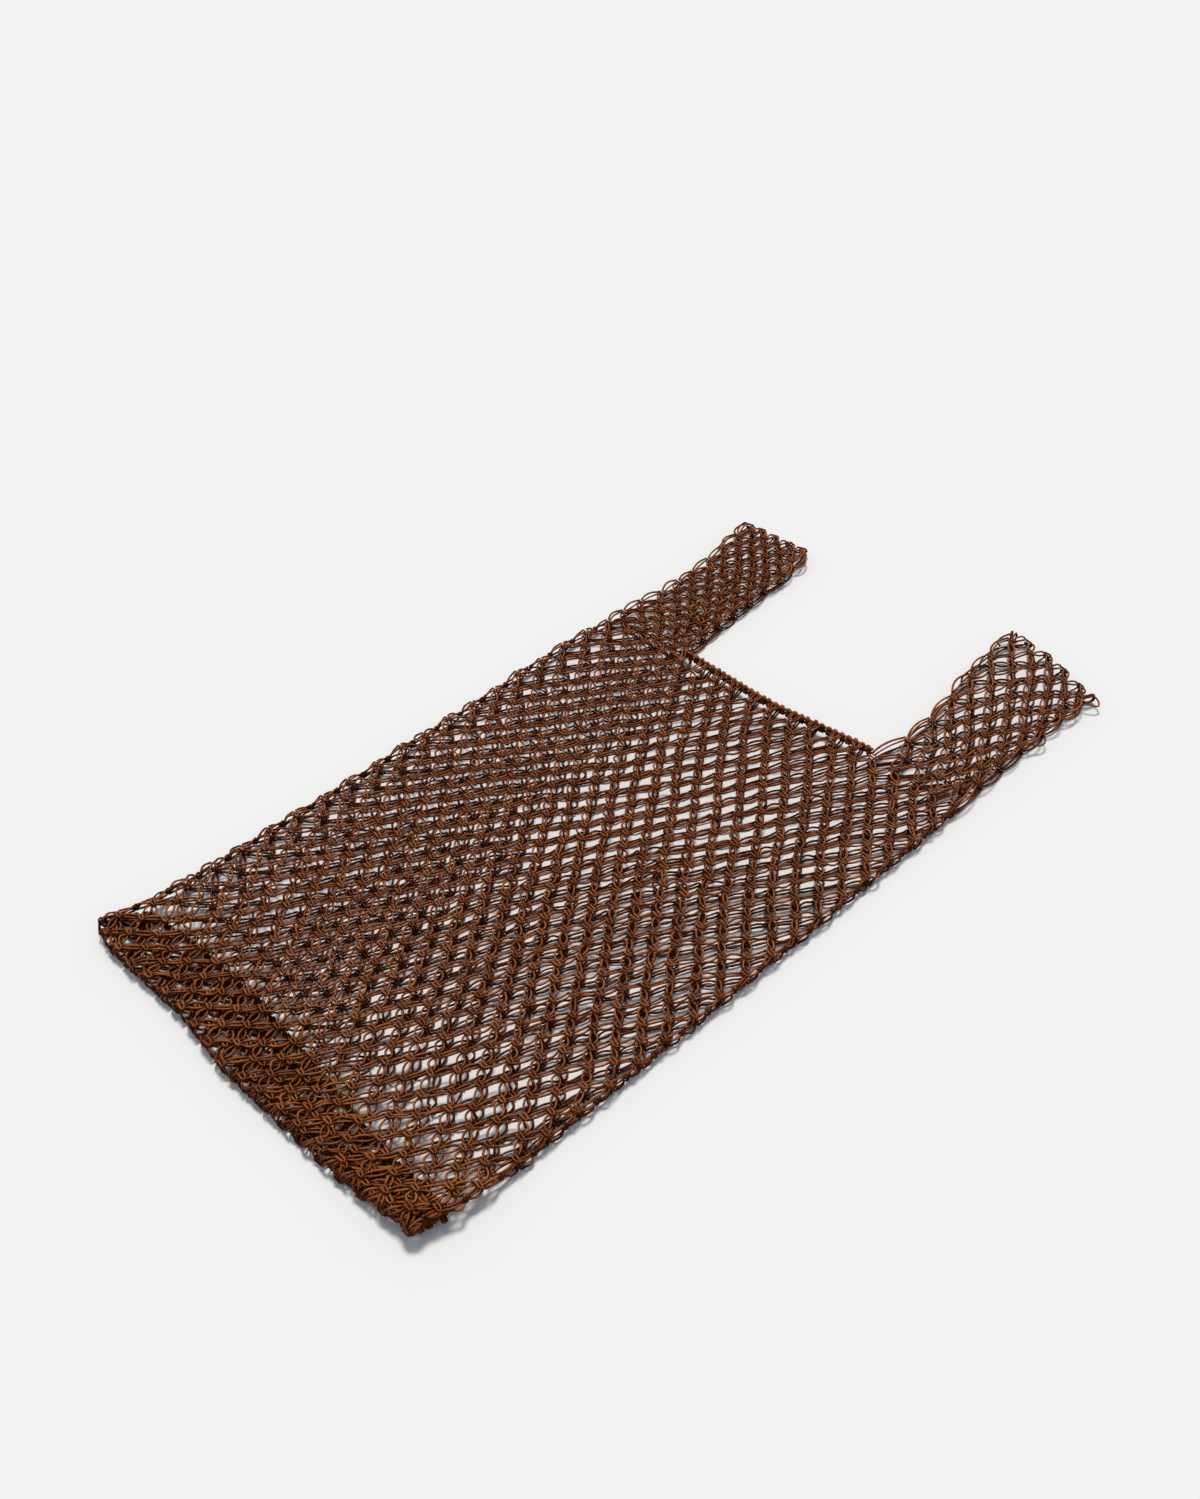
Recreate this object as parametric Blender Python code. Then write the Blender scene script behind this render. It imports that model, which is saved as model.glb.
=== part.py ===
"""A vest-shaped market bag of knotted diamond net, lying flat with its base folded under.

Metres. The bag lies on z = 0, its length along Y with the base at -Y and the handles at +Y, its width along X.
Each layer of net is a sheet as thick as the twine and knots in it. Heights are those of the sheets' middles, and
"up" is the distance up the bag from its base line.
"""

import math

import bmesh
import bpy

# Net
SHEET = 0.002  # thickness of one layer of net
BACK_Z = SHEET / 2  # the back layer lies on the surface
FRONT_Z = 0.0078  # the front layer stands on the back layer's knots
WAVE = 0.0009  # the front layer's slow rise and fall

# Base: the lowest part of the flattened tube is turned under
TURNED_UNDER = 0.041  # the farthest it reaches up the bag, before the bottom edge's bow
PRESSED_HALF = 0.0014  # half the distance between the two layers where the net is pressed flat
FOLD_RADIUS = 0.0027
FOLD_UP = FOLD_RADIUS + PRESSED_HALF + SHEET / 2  # the round of the fold starts here
RAMP_START = TURNED_UNDER
RAMP_END = 0.070  # the net has come down on to the surface here
BOW_FADES = 0.20  # the bow of the bottom edge dies out over this length
CORNER_LIFT = 0.005  # the right corner of the base stands a little off the surface
CORNER_REACH = 0.070

# Mouth and neck
MOUTH_UP = 0.440
PIECE_GAP = 0.0003  # between pieces that meet
EDGE_CORD = 0.003  # diameter of the row of close knots along the neck
NECK_LEFT, NECK_RIGHT = -0.0795, 0.0815

# Twine
TWINE_BROWN = (0.165, 0.062, 0.026, 1.0)
KNOT_BROWN = (0.130, 0.047, 0.020, 1.0)
TWINE_ROUGHNESS = 0.82

# Steps across and along the sheets
ACROSS_BODY = 26
ACROSS_HANDLE = 8
ALONG_BODY = 12
ALONG_HANDLE = 8
ALONG_BASE = 5
ROUND_SIDE = 4
ROUND_FOLD = 6
ALONG_NECK = 24

BODY_SIDES = (
    # up, left, right
    (0.000, -0.150, 0.153),
    (0.040, -0.139, 0.156),
    (0.150, -0.140, 0.156),
    (0.280, -0.142, 0.156),
    (0.400, -0.147, 0.155),
    (0.455, -0.144, 0.153),
)
BOTTOM_EDGE = (
    # across, how far it bows out below the base line
    (-0.151, 0.004),
    (-0.120, 0.009),
    (-0.060, 0.008),
    (0.005, 0.014),
    (0.080, 0.013),
    (0.152, 0.009),
)
FLAP = (
    # across, how far up the turned-under part reaches
    (-0.151, 0.033),
    (-0.060, 0.038),
    (0.000, TURNED_UNDER),
    (0.060, 0.032),
    (0.157, 0.024),
)
MOUTH = (
    # across, up
    (-0.151, 0.4370),
    (-0.080, 0.4330),
    (-0.010, 0.4320),
    (0.095, 0.4435),
    (0.157, 0.4440),
)
LEFT_HANDLE = (
    # share of the way to the tip, left, right
    (0.00, -0.1440, -0.0820),
    (0.25, -0.1400, -0.0870),
    (0.50, -0.1415, -0.0885),
    (0.75, -0.1480, -0.0900),
    (1.00, -0.1560, -0.0990),
)
RIGHT_HANDLE = (
    # share of the way to the tip, left, right
    (0.00, 0.0860, 0.1530),
    (0.20, 0.0890, 0.1505),
    (0.45, 0.0820, 0.1485),
    (0.70, 0.0750, 0.1500),
    (1.00, 0.0710, 0.1530),
)
LEFT_TIP = (
    # across, up
    (-0.158, 0.591),
    (-0.099, 0.595),
)
RIGHT_TIP = (
    # across, up
    (0.070, 0.623),
    (0.100, 0.616),
    (0.155, 0.599),
)
# The frame's origin lies at the middle of the bag's box
CENTRE_X = 0.0005
CENTRE_UP = 0.3045


def smooth(share):
    """0 to 1 with level ends."""
    share = min(max(share, 0.0), 1.0)
    return share * share * (3.0 - 2.0 * share)


def mixed(low, high, share):
    return low + share * (high - low)


def eased(rows, at, column=1):
    """A column's value at a place in the first column, passing softly from row to row."""
    for low, high in zip(rows, rows[1:]):
        if at <= high[0]:
            return mixed(low[column], high[column], smooth((at - low[0]) / (high[0] - low[0])))
    return rows[-1][column]


def wave(x, up):
    """The front layer's slow rise, from 0 to WAVE."""
    return WAVE * (0.5 + 0.5 * math.sin(21.0 * x + 4.0 * math.sin(11.0 * up)) * math.sin(17.0 * up + 1.0))


def corner_lift(x, up):
    away = math.hypot(x - BODY_SIDES[0][2], up)
    return CORNER_LIFT * smooth(1.0 - away / CORNER_REACH)


def placed(x, up, z):
    return (x - CENTRE_X, up - CENTRE_UP, z)


def twine(name, colour):
    material = bpy.data.materials.new(name)
    material.use_nodes = True
    shader = material.node_tree.nodes["Principled BSDF"]
    shader.inputs["Base Color"].default_value = colour
    shader.inputs["Roughness"].default_value = TWINE_ROUGHNESS
    shader.inputs["Metallic"].default_value = 0.0
    return material


def add_piece(name, data, material):
    piece = bpy.data.objects.new(name, data)
    data.materials.append(material)
    bpy.context.scene.collection.objects.link(piece)
    return piece


def net_sheet(name, rows, is_tube, material):
    """Bridges the rows of points in turn and gives the surface the net's thickness. A tube is closed at its first row."""
    bm = bmesh.new()
    loops = []
    for row in rows:
        verts = [bm.verts.new(point) for point in row]
        ends = verts[1:] + verts[:1] if is_tube else verts[1:]
        loops.append([bm.edges.new(pair) for pair in zip(verts, ends)])
    for low, high in zip(loops, loops[1:]):
        bmesh.ops.bridge_loops(bm, edges=low + high)
    if is_tube:
        bmesh.ops.edgeloop_fill(bm, edges=loops[0])
    bmesh.ops.recalc_face_normals(bm, faces=bm.faces)
    mesh = bpy.data.meshes.new(name)
    bm.to_mesh(mesh)
    bm.free()
    mesh.shade_smooth()
    piece = add_piece(name, mesh, material)
    thick = piece.modifiers.new("Net thickness", "SOLIDIFY")
    thick.thickness = SHEET
    thick.offset = 0.0
    thick.use_even_offset = True
    return piece


def body_sections():
    """The flattened tube's sections from its closed end, under the base, to the mouth.

    Each has its place up the bag, its height, its lean, half its depth, and its share of the way to its full depth and
    to the mouth. The lean is 0 where the front layer is uppermost and pi where the tube lies turned under itself.
    """
    under_z = SHEET / 2 + PRESSED_HALF
    over_z = under_z + 2.0 * FOLD_RADIUS
    for step in range(ALONG_BASE + 1):
        yield mixed(TURNED_UNDER, FOLD_UP, step / ALONG_BASE), under_z, math.pi, PRESSED_HALF, 0.0, 0.0
    for step in range(1, ROUND_FOLD):
        turn = math.pi * step / ROUND_FOLD
        up = FOLD_UP - FOLD_RADIUS * math.sin(turn)
        yield up, under_z + FOLD_RADIUS * (1.0 - math.cos(turn)), math.pi - turn, PRESSED_HALF, 0.0, 0.0
    for step in range(ALONG_BASE + 1):
        yield mixed(FOLD_UP, RAMP_START, step / ALONG_BASE), over_z, 0.0, PRESSED_HALF, 0.0, 0.0
    for step in range(1, ALONG_BASE + 1):
        share = smooth(step / ALONG_BASE)
        up = mixed(RAMP_START, RAMP_END, step / ALONG_BASE)
        z = mixed(over_z, (FRONT_Z + BACK_Z) / 2, share)
        yield up, z, 0.0, mixed(PRESSED_HALF, (FRONT_Z - BACK_Z) / 2, share), share, 0.0
    for step in range(1, ALONG_BODY + 1):
        share = step / ALONG_BODY
        yield mixed(RAMP_END, MOUTH_UP, share), (FRONT_Z + BACK_Z) / 2, 0.0, (FRONT_Z - BACK_Z) / 2, 1.0, share


def body_row(up, z, lean, half, opened, share):
    """The points round one section: across the front layer, round the right side, back below and round the left."""
    left, right = eased(BODY_SIDES, up), eased(BODY_SIDES, up, 2)
    across = [mixed(left + half, right - half, step / ACROSS_BODY) for step in range(ACROSS_BODY + 1)]
    turns = [math.pi * step / ROUND_SIDE for step in range(1, ROUND_SIDE)]
    section = [(x, half) for x in across]
    section += [(across[-1] + half * math.sin(turn), half * math.cos(turn)) for turn in turns]
    section += [(x, -half) for x in reversed(across)]
    section += [(across[0] - half * math.sin(turn), -half * math.cos(turn)) for turn in turns]
    row = []
    for x, off in section:
        if lean == math.pi:
            reach = (eased(FLAP, x) - FOLD_UP) / (TURNED_UNDER - FOLD_UP)
        else:
            reach = 1.0
        along = FOLD_UP + reach * (up - FOLD_UP)
        bow = eased(BOTTOM_EDGE, x) * (1.0 - smooth(along / BOW_FADES))
        drawn = share * (eased(MOUTH, x) - MOUTH_UP)
        rise = opened * max(off / half, 0.0) * wave(x, up) + corner_lift(x, along)
        row.append(placed(x, along - off * math.sin(lean) - bow + drawn, z + off * math.cos(lean) + rise))
    return row


def handle_row(sides, tip, share, turn):
    """The points across a handle: share of the way to its tip, and turn from the front layer, 0, to the back, pi."""
    left, right = eased(sides, share), eased(sides, share, 2)
    radius = (FRONT_Z - BACK_Z) / 2
    row = []
    for step in range(ACROSS_HANDLE + 1):
        x = mixed(left, right, step / ACROSS_HANDLE)
        start = eased(MOUTH, x) + PIECE_GAP
        end = eased(tip, x) - radius - SHEET / 2
        up = mixed(start, end, share) + radius * math.sin(turn)
        rise = wave(x, up) * max(math.cos(turn), 0.0) * (1.0 - smooth(4.0 * share - 3.0))
        row.append(placed(x, up, BACK_Z + radius + radius * math.cos(turn) + rise))
    return row


def make_handle(name, sides, tip, material):
    rows = [handle_row(sides, tip, step / ALONG_HANDLE, 0.0) for step in range(ALONG_HANDLE + 1)]
    rows += [handle_row(sides, tip, 1.0, math.pi * step / ROUND_FOLD) for step in range(1, ROUND_FOLD)]
    rows += [handle_row(sides, tip, 1.0 - step / ALONG_HANDLE, math.pi) for step in range(ALONG_HANDLE + 1)]
    return net_sheet(name, rows, False, material)


def make_neck_edge(name, z, follows_front, material):
    curve = bpy.data.curves.new(name, "CURVE")
    curve.dimensions = "3D"
    curve.bevel_depth = EDGE_CORD / 2
    curve.bevel_resolution = 2
    curve.use_fill_caps = True
    spline = curve.splines.new("POLY")
    spline.points.add(ALONG_NECK)
    for step, point in enumerate(spline.points):
        x = mixed(NECK_LEFT, NECK_RIGHT, step / ALONG_NECK)
        up = eased(MOUTH, x) + PIECE_GAP + EDGE_CORD / 2
        rise = wave(x, up) if follows_front else 0.0
        point.co = (*placed(x, up, z + rise), 1.0)
    return add_piece(name, curve, material)


def main():
    for obj in list(bpy.data.objects):
        bpy.data.objects.remove(obj)
    net_sheet("net_body", [body_row(*section) for section in body_sections()], True, twine("body_twine", TWINE_BROWN))
    handle_twine = twine("handle_twine", TWINE_BROWN)
    make_handle("left_handle", LEFT_HANDLE, LEFT_TIP, handle_twine)
    make_handle("right_handle", RIGHT_HANDLE, RIGHT_TIP, handle_twine)
    neck_twine = twine("neck_twine", KNOT_BROWN)
    make_neck_edge("front_neck_edge", FRONT_Z, True, neck_twine)
    make_neck_edge("back_neck_edge", EDGE_CORD / 2, False, neck_twine)


main()
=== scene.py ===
"""A vest-shaped macrame market bag of dark brown twine, lying flat with its base turned under.

Metres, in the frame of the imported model: X across the bag, +Y from the base to the handles, Z up from the
floor. The net is two layers of alternating knots, made as one tube with two handles. A place on the net is
its distance across and its distance along the cloth: from the fold of the base on the body, negative on the
turned-under part, and from the top of the tip on a handle, negative on its back. Half rows of knots are
counted from there too.
"""

import math
import random

import bmesh
import bpy
import numpy as np
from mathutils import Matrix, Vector
from mathutils.bvhtree import BVHTree


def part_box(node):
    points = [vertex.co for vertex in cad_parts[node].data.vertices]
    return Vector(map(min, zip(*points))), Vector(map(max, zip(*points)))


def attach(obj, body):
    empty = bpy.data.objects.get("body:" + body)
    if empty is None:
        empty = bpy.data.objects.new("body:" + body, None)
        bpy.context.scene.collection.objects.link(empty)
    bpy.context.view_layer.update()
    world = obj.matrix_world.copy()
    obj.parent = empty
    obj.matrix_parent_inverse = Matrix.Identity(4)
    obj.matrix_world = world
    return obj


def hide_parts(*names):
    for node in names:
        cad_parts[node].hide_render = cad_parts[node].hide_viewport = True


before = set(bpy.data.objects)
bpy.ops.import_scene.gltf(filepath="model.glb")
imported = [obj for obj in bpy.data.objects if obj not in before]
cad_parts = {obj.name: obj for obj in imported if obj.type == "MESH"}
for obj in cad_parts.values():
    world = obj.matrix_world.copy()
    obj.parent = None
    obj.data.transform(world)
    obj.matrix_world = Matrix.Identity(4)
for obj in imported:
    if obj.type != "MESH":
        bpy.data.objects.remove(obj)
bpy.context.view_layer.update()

MM = 0.001

# Camera, floor and light
CAMERA_PLACE = (0.5529, -0.5823, 0.7421)
CAMERA_TILT = math.radians(49.0)
CAMERA_TURN = math.radians(45.146)
CAMERA_LENS = 40.83
FLOOR_PIECE = "floor"
FLOOR_WIDTH = 14.0
FLOOR_GREY = 0.88
SKY_STRENGTH = 0.36
SUN_STRENGTH = 2.25
SUN_SIZE = math.radians(17.0)
SKY_COLOUR = (0.90, 0.99, 1.10)
SUN_COLOUR = (1.055, 1.005, 0.945)
SUN_DIRECTION = (0.30, -0.27, -0.91)

# Twine
TWINE_RADIUS = 0.00071
TWINE_SIDES = 5
TWINE_VARIES = 0.06  # spread of the thickness of different twines, and along each of them
THINNEST = 0.8  # limits of that, as shares of the radius
THICKEST = 1.25
FLOOR_GAP = 0.0001
SHORTEST_STEP = 0.0003  # a point of a twine that is nearer to the one before it is left out
WELD = 1e-7
LOW_TWINE = 0.0045  # twine lower than about this gets a painted shade, darker, for the deep shade between the layers
LOW_TWINE_START = 1.6  # how many times as high the painted shade starts
LOW_TWINE_PAINTED_SHADE = 0.8
STRAND_STEPS = 5  # from a knot to the next one
LONG_STRAND_STEPS = 8
CORD_STRAND_STEPS = 4

# Its colours, the lay of its two plies, and how much each thing makes a place paler or darker
DARK_BROWN = (0.060, 0.010, 0.001)
LIGHT_BROWN = (0.540, 0.168, 0.046)
TWINE_PITCH = 0.0024
# Each twine's random tone, which carries the painted shade of twine that lies low in the stack
TONE_AND_PAINTED_SHADE_WEIGHT = 0.4
PATCH_SCALE = 45.0
PATCH_DETAIL = 2.0
PATCH_WEIGHT = 0.4
FIBRE_SCALE = 2600.0
FIBRE_DETAIL = 3.0
FIBRE_WEIGHT = 0.35
FIBRE_HEIGHT = 0.5
# A painted highlight where a twine faces up or down, so that its sides read darker
PAINTED_HIGHLIGHT_POWER = 1.6
PAINTED_HIGHLIGHT_WEIGHT = 1.1
# A painted shade in the grooves between the two plies
GROOVE_POWER = 2.0
GROOVE_PAINTED_SHADE_WEIGHT = 0.9
DARKER_BY = 0.60
TWINE_ROUGHNESS = 0.75
TWINE_SPECULAR = 0.12
BUMP_STRENGTH = 0.8
BUMP_DISTANCE = 0.0003

# Layers of the net
SHEET = 0.002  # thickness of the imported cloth
FRONT_FOLD = 0.0041  # radius of the front layer's turn under the base
BACK_FOLD = 0.0013
BACK_REACH = 0.0026  # how far in from the fold the back layer turns
TIP_FOLD = 0.0034  # radius of a handle's turn over its tip
TURN_INSET = 0.002  # how far in from the middle of a turn its height is read

# Mesh
COLUMNS = 18
HANDLE_COLUMNS = 4
BODY_ROWS = 40  # half rows from the fold of the base to the mouth
BASE_ROWS = 3  # half rows turned under the base
SEAM_GAP_ROWS = 0.7  # from the last of those to the row that closes the base
EDGE_KNOT_INSET = 0.0042  # how far inside the sides the outermost knots of each layer lie
SIDE_KNOT_INSET = 0.0022  # and the knots that the two layers share
KNOT_STRAYS = 0.0006
HANDLE_INSETS = {"left": (0.0040, 0.0024), "right": (0.0065, 0.0026)}  # at the tip, and from the middle down
MOUTH_GAP = 0.005  # from the last even half row to the mouth
LAST_KNOT_OFF_MOUTH = 0.0025  # the least distance from the mouth at which one more half row has its knots
TUCK_SLIP = 0.007  # how far to the right the rows turned under the base have slipped
TUCK_SLIP_ROWS = 2  # half rows over which that slip grows
CORNER_ROUND = 0.004  # how much further in the knots lie at the two corners of the base
CORNER_ROWS = 3
HANDLE_ROWS = {"left": 18, "right": 13}  # half rows from the tip down each face
HANDLE_CLOSING = {"left": 0.15, "right": -0.08}  # how much closer than even the rows get down to the body
# How far a handle's back has slipped under its front, in millimetres across and along, at its tip and end
HANDLE_SLIP = {"left": ((0, 0), (-2, -1)), "right": ((5, 2), (4, 6))}

# How far the mesh has drifted from even rows and columns, in millimetres across and along, by share of the
# way up the bag and, in each line, at the five shares of the way across
DRIFT_ACROSS = (0.02, 0.20, 0.45, 0.70, 0.97)
FRONT_DRIFT = {
    0.00: ((-3, -6), (-3, -6), (-2, -6), (-4, -4), (-1, -1)),
    0.05: ((3, -6), (2, -6), (1, -6), (-2, -4), (-1, -1)),
    0.15: ((5, -6), (4, -5), (3, -3), (-1, -2), (0, 1)),
    0.32: ((6, -8), (4, -4), (3, -1), (0, 1), (-1, 3)),
    0.50: ((4, -9), (1, -5), (0, 0), (-2, 1), (-3, 1)),
    0.74: ((3, -12), (0, -8), (-1, -2), (-3, 0), (-3, 0)),
    0.95: ((6, -10), (3, -6), (2, -2), (2, 0), (1, 1)),
}
BACK_SLIP = {  # the back layer's, over and above the front's
    0.00: ((5, 6), (5, 6), (5, 5), (4, -2), (4, -3)),
    0.10: ((5, 3), (5, 3), (2, 0), (7, -7), (7, -7)),
    0.19: ((5, 3), (5, 3), (1, 0), (5, -5), (6, -6)),
    0.33: ((5, 3), (5, 3), (1, 0), (0, 0), (1, -1)),
    0.50: ((5, 3), (5, 3), (2, -2), (-1, -2), (0, 0)),
    0.64: ((5, 3), (5, 3), (4, -5), (-2, -5), (-1, 0)),
    0.75: ((5, 4), (5, 4), (4, -5), (4, -5), (0, -1)),
    0.95: ((4, 4), (4, 4), (0, 0), (0, 0), (1, 0)),
}
DRIFT_SLOPE = 9.0  # how steeply the drift grows from none at the two sides
BACK_SLIP_SLOPE = 18.0
HANDLE_SLIP_SLOPE = 4.0

# Knots
KNOT_TILT = math.radians(-11.0)
KNOT_TILT_VARIES = math.radians(6.0)
KNOT_SIZE = 1.12  # as a share of the size in the tables below
SIDE_KNOT_SIZE = 0.85
KNOT_SIZE_VARIES = 0.06
BACK_KNOT_LIFT = 0.0008  # how far above the middle of their cloth the back's knots lie
# The route of a knot's front twine, from its middle in millimetres across, along and up
FRONT_TURNS = (
    (-2.6, 1.9, 0.1),
    (-1.9, 1.0, 0.9),
    (1.6, 0.95, 1.15),
    (2.75, 0.0, 0.4),
    (1.6, -0.95, 1.15),
    (-1.9, -1.0, 0.9),
    (-2.6, -1.9, 0.1),
)
UPPER_LEFT = ((-2.5, 1.7, 0.1), (-0.8, 1.7, -0.1))  # where an outer and an inner twine leave a knot

# Pairs of twines between knots
LEFT_LEANING_BOW = (0.0014, 0.0005)  # how far the twines of a pair bow apart, and its spread
RIGHT_LEANING_BOW = (0.0006, 0.0006)
SIDE_BOW = (0.0012, 0.0007)  # how far a pair's outer twine bows out at a side of the body, and its spread
SIDE_BOW_STEP = 0.0012  # how much less its inner one does
BACK_BOW_VARIES = 0.0004
LIFT_VARIES = 0.0004
EDGE_INSET = 0.0012  # how far inside a handle's outline its edge twines stay
EDGE_BOW = 0.0012  # the least that they bow out
EDGE_BOW_STEP = 0.0011
EDGE_BOW_VARIES = 0.15
EDGE_LIFT_VARIES = 0.0006
PAIR_HALF = 0.0009  # half the distance between the two twines of a pair where it meets a cord
CORD_SLACK = 0.0003

# Loops that hang out past the left, -1, or right, 1, side of each handle: how far down from its top they
# start and end, and how far out they reach, in millimetres
LOOSE_LOOPS = {
    "left": ((1, 3, 27, 7), (1, 5, 29, 4), (-1, 1, 20, 4), (-1, 20, 46, 3), (1, 34, 52, 3)),
    "right": (
        (-1, 5, 23, 3),
        (1, 1, 13, 7),
        (1, 58, 77, 7),
        (1, 20, 40, 3),
        (-1, 26, 50, 1),
        (-1, 50, 76, 1),
    ),
}
LOOP_STEPS = 10
LOOP_ROUNDNESS = 0.7
LOOP_END_INSET = 2.5  # in millimetres
LOOP_DROP = 0.0025

# Rows of close knots, called beads here, along the neck and along the seam that closes the base
CORD_OFF_MOUTH = 0.0018
CORD_HEIGHT_INSET = 0.006  # how far below the cord the height of the net is read for it
CORD_POINTS = 40
CORD_REACH = 0.003  # how far aside of their knot the pairs come to the neck's cord
BACK_CORD_DROP = 0.0008  # how much nearer the base the back's neck cord runs than the front's
CORDS_APART = 0.0024
SEAM_LIFT = 0.0014
SEAM_POINTS = 50
SEAM_REACH = 0.004  # how far aside of their knot the pairs come to the seam
BEAD_SPACING = 0.0052
BEAD_STRAYS = 0.12  # as a share of the spacing
BEAD_RADIUS = 0.0015
BEAD_RADIUS_VARIES = 0.12
BEAD_LENGTH = 0.0028
BEAD_START = 0.2 * math.pi
BEAD_TURNS = 2.4
BEAD_SLANT = 0.0020
BEAD_STEPS = 16
CORE_HALF = 0.0005  # half the distance between the two core twines
CORE_STEPS = 4  # points of them to a bead

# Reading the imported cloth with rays
RAY_TOP = 0.05
RAY_STEP = 0.00001
RAY_NUDGES = (0.0, 0.0004, -0.0004, 0.001, -0.001, 0.003, -0.003)
RAY_START_ACROSS = 0.5
RAY_START_ALONG = 0.6
HEIGHT_INSET = 0.0045  # heights are read no nearer to the edges than this
SAMPLES = 60  # places read along a node and across it
SLOPE_SAMPLES = 5  # how many of them give the slope of a side past its end
TURN_SAMPLES = 24
TURN_START = 0.010  # where the search for the end of what is turned under the base starts
TURN_STEP = 0.001
BASE_LAYERS = 4
# How far inside a node's low and high end its sides are read
END_MARGINS = {"net_body": (0.016, 0.014), "left_handle": (0.008, 0.012), "right_handle": (0.008, 0.030)}

chance = random.Random(7)


def mixed(low, high, share):
    return low + share * (high - low)


def bulge(share):
    """0 at both ends and 1 in the middle."""
    return 4.0 * share * (1.0 - share)


def off_sides(share, slope):
    """0 at the two sides, growing to 1 inside them."""
    return min(1.0, slope * share, slope * (1.0 - share))


# Reading the frame


def sheet_heights(tree, x, y):
    """Heights of the middles of the sheets at a place, from the top down."""
    hits = []
    height = RAY_TOP
    while True:
        hit = tree.ray_cast(Vector((x, y, height)), Vector((0, 0, -1)))[0]
        if hit is None:
            break
        hits.append(hit.z)
        height = hit.z - RAY_STEP
    return [(top + under) / 2 for top, under in zip(hits[::2], hits[1::2])]


class Outline:
    """The heights and the outermost lines of a node's net."""

    def __init__(self, node, sign):
        """sign is 1 where the net runs up from its fold and -1 where it runs down from it."""
        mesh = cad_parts[node].data
        points = [vertex.co for vertex in mesh.vertices]
        self.tree = BVHTree.FromPolygons(points, [tuple(face.vertices) for face in mesh.polygons])
        self.sign = sign
        low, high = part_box(node)
        below, above = END_MARGINS[node]
        self.ys = np.linspace(low.y + below, high.y - above, SAMPLES)
        middle = (low.x + high.x) / 2
        self.left, self.right = (np.array([self.side(side, y, middle) for y in self.ys]) for side in (-1, 1))
        self.low_xs, self.lows = self.end_line(-1, self.ys[0])
        self.high_xs, self.highs = self.end_line(1, self.ys[-1])

    def heights(self, x, y):
        """Heights of the front and back layers, found a little aside where a ray slips between two faces."""
        for nudge in RAY_NUDGES:
            found = sheet_heights(self.tree, x + nudge, y + nudge)
            if len(found) >= 2:
                return found[:2]
        raise ValueError(f"no net at {x:.4f}, {y:.4f}")

    def cast(self, start, direction):
        return self.tree.ray_cast(Vector(start), Vector(direction))[0]

    def side(self, side, y, inside):
        """Where the net ends at its left, -1, or right, 1: the middle of the cloth where it is a tube."""
        # The first ray goes in at the height of the net's middle, the second at that of its edge
        for _ in range(2):
            front, back = self.heights(inside, y)
            z = (front + back) / 2 if self.sign > 0 else front
            hit = self.cast((side * RAY_START_ACROSS, y, z), (-side, 0, 0))
            inside = hit.x - side * HEIGHT_INSET
        return hit.x - side * SHEET / 2 if self.sign > 0 else hit.x

    def end_line(self, side, y):
        """Where the net ends at its low, -1, or high, 1, end, across its width."""
        left, right = self.sides(y)
        folded = side == -self.sign
        line = []
        for x in np.linspace(left + HEIGHT_INSET, right - HEIGHT_INSET, SAMPLES):
            front, back = self.heights(x, y)
            z = (front + back) / 2 if folded else front
            hit = self.cast((x, side * RAY_START_ALONG, z), (0, -side, 0))
            if hit is not None:
                line.append((x, hit.y - side * SHEET / 2 if folded else hit.y))
        return np.array(line).T

    def sides(self, y):
        """The left and right side at a place along the net, going straight on past the last places read."""
        beyond = y - min(max(y, self.ys[0]), self.ys[-1])
        places = []
        for line in (self.left, self.right):
            slope = 0.0
            if beyond > 0.0 and self.sign < 0:
                slope = (line[-1] - line[-1 - SLOPE_SAMPLES]) / (self.ys[-1] - self.ys[-1 - SLOPE_SAMPLES])
            places.append(np.interp(y, self.ys, line) + beyond * slope)
        return places

    def turned_under_end(self, x):
        """How far up the body the part turned under the base reaches."""
        y = self.fold(x) + TURN_START
        while len(sheet_heights(self.tree, x, y)) >= BASE_LAYERS:
            y += TURN_STEP
        return y

    def end(self, side, x):
        """Where the low, -1, or high, 1, end lies."""
        return np.interp(x, self.low_xs, self.lows) if side < 0 else np.interp(x, self.high_xs, self.highs)

    def fold(self, x):
        return self.end(-self.sign, x)

    def mouth(self, x):
        return self.end(self.sign, x)


class Cloth:
    """One layer of the body, or a whole handle, as a cloth that places on the net are laid on."""

    def __init__(self, outline, layer, radius):
        self.outline = outline
        self.layer = layer
        self.radius = radius
        self.flat_start = math.pi * radius / 2
        self.sign = outline.sign
        self.outer = TIP_FOLD
        if outline.sign > 0:
            self.outer = BACK_REACH if layer else FRONT_FOLD

    def height(self, x, y, under):
        """Height of the middle of the cloth, or of the part of it that is turned under."""
        if self.sign < 0:
            y = max(y, self.outline.ys[0] - self.outer)
        left, right = self.outline.sides(y)
        x = min(max(x, left + HEIGHT_INSET), right - HEIGHT_INSET)
        heights = self.outline.heights(x, y)
        if self.sign < 0:
            return heights[1] if under else heights[0]
        return heights[self.layer] - (2.0 * self.radius if under else 0.0)

    def lay(self, x, along, lift=0.0):
        """The point at a place on the net, raised outwards from the middle of the cloth."""
        centre = self.outline.fold(x) + self.sign * self.outer
        if abs(along) < self.flat_start:
            turn = along / self.radius
            z = self.height(x, centre + self.sign * TURN_INSET, False) - self.radius
            reach = self.radius + lift
            return Vector((x, centre - self.sign * reach * math.cos(turn), z + reach * math.sin(turn)))
        y = centre + self.sign * (abs(along) - self.flat_start)
        if along > 0.0:
            return Vector((x, y, self.height(x, y, False) + lift))
        return Vector((x, y, self.height(x, y, True) - lift))

    def along_at(self, x, y):
        """How far along the cloth a place lies."""
        return self.flat_start + self.sign * (y - self.outline.fold(x)) - self.outer


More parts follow.
